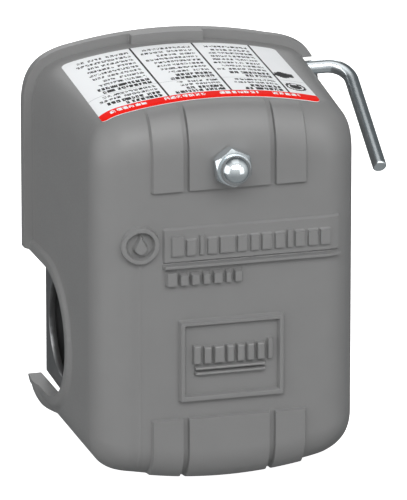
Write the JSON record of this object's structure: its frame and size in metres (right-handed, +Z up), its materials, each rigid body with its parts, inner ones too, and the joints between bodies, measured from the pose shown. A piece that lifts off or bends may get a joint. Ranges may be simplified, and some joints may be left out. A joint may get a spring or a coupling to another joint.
{
  "type": "pressure switch",
  "caption": "Water pump pressure switch with a moulded cover, cap nut, cut-off lever and side conduit entries, over a diaphragm housing, sprung beam and rocking contacts.",
  "frame": {"origin": "centre of the pressure port's mouth", "axes": "+Y out of the pressure port, -Y towards the cover's front face, +Z up, +X towards the cut-off lever"},
  "size_m": [0.0771, 0.093, 0.0922],
  "materials": {
    "cover_plastic": "fine moulded grain, mid grey",
    "label_film": null,
    "zinc_steel": "bright zinc plate",
    "plated_sheet": "zinc-plated pressed steel",
    "cast_housing": "zinc die casting, satin",
    "diaphragm_rubber": "black nitrile rubber",
    "spring_steel": "oiled spring wire",
    "block_plastic": "black phenolic moulding",
    "piston_plastic": "natural acetal",
    "brass_strip": "stamped brass",
    "silver_tip": "silver alloy contact face",
    "terminal_steel": "yellow-tinted zinc plate",
    "ground_green": "green dyed zinc plate"
  },
  "bodies": {
    "base": {"base_frame": "plated_sheet", "diaphragm_housing": "cast_housing", "diaphragm": "diaphragm_rubber", "housing_screws": "zinc_steel", "range_stud": "zinc_steel", "differential_stud": "zinc_steel", "contact_block": "block_plastic", "terminal_strip_1": "brass_strip", "terminal_strip_2": "brass_strip", "terminal_strip_3": "brass_strip", "terminal_strip_4": "brass_strip", "fixed_contact_tips": "silver_tip", "terminal_screws": "terminal_steel", "terminal_clamps": "terminal_steel", "ground_screws": "ground_green", "block_screws": "zinc_steel", "beam_pivot_pin": "zinc_steel", "carrier_pivot_pin": "zinc_steel", "lever_bracket": "zinc_steel", "lever_return_spring": "spring_steel", "range_spring": "spring_steel", "differential_spring": "spring_steel", "differential_washer": "zinc_steel", "toggle_spring": "spring_steel"},
    "cover": {"cover": "cover_plastic", "warning_label": "label_film"},
    "cover_nut": {"cover_nut": "zinc_steel"},
    "beam": {"beam": "plated_sheet", "beam_spring_seat": "zinc_steel"},
    "piston": {"piston": "piston_plastic"},
    "carrier": {"contact_carrier": "block_plastic", "bridge_contact_left": "brass_strip", "bridge_contact_right": "brass_strip", "moving_contact_tips": "silver_tip", "bridge_springs": "spring_steel"},
    "range_seat": {"range_spring_seat": "zinc_steel"},
    "range_nut": {"range_nut": "zinc_steel"},
    "differential_nut": {"differential_nut": "zinc_steel"},
    "cutoff_lever": {"cutoff_lever": "zinc_steel", "lever_crank": "zinc_steel", "lever_clip": "zinc_steel"}
  },
  "joints": [
    {"name": "cover_lift", "type": "slide", "parent": "base", "child": "cover", "axis": [0, -1, 0], "range_m": [0, 0.07]},
    {"name": "cover_nut_turn", "type": "hinge", "parent": "cover", "child": "cover_nut", "pos_m": [0, -0.087, 0.023], "axis": [0, 1, 0], "continuous": true},
    {"name": "beam_tilt", "type": "hinge", "parent": "base", "child": "beam", "pos_m": [0, -0.041, -0.013], "axis": [1, 0, 0], "range_deg": [0, 3], "stiffness_Nm_per_rad": 1.5, "deforming": ["range_spring", "toggle_spring"]},
    {"name": "piston_push", "type": "slide", "parent": "base", "child": "piston", "axis": [0, -1, 0], "range_m": [0, 0.0008]},
    {"name": "contact_rock", "type": "hinge", "parent": "base", "child": "carrier", "pos_m": [0, -0.05, -0.01], "axis": [1, 0, 0], "range_deg": [-9.5, 0]},
    {"name": "range_nut_turn", "type": "hinge", "parent": "range_seat", "child": "range_nut", "pos_m": [0, -0.062, 0.023], "axis": [0, 1, 0], "range_deg": [-720, 720]},
    {"name": "range_adjust", "type": "slide", "parent": "base", "child": "range_seat", "axis": [0, 1, 0], "range_m": [-0.0026, 0.0026]},
    {"name": "differential_adjust", "type": "slide", "parent": "base", "child": "differential_nut", "axis": [0, 1, 0], "range_m": [-0.0016, 0.0016], "deforming": ["differential_spring"]},
    {"name": "lever_turn", "type": "hinge", "parent": "base", "child": "cutoff_lever", "pos_m": [0, -0.0355, 0.0277], "axis": [1, 0, 0], "range_deg": [-30, 20], "stiffness_Nm_per_rad": 0.05, "deforming": ["lever_return_spring"]}
  ],
  "couplings": [
    {"joint": "piston_push", "follows": "beam_tilt", "m_per_rad": 0.012},
    {"joint": "contact_rock", "follows": "beam_tilt", "ratio": -3},
    {"joint": "range_adjust", "follows": "range_nut_turn", "m_per_rad": 0.00020213}
  ]
}
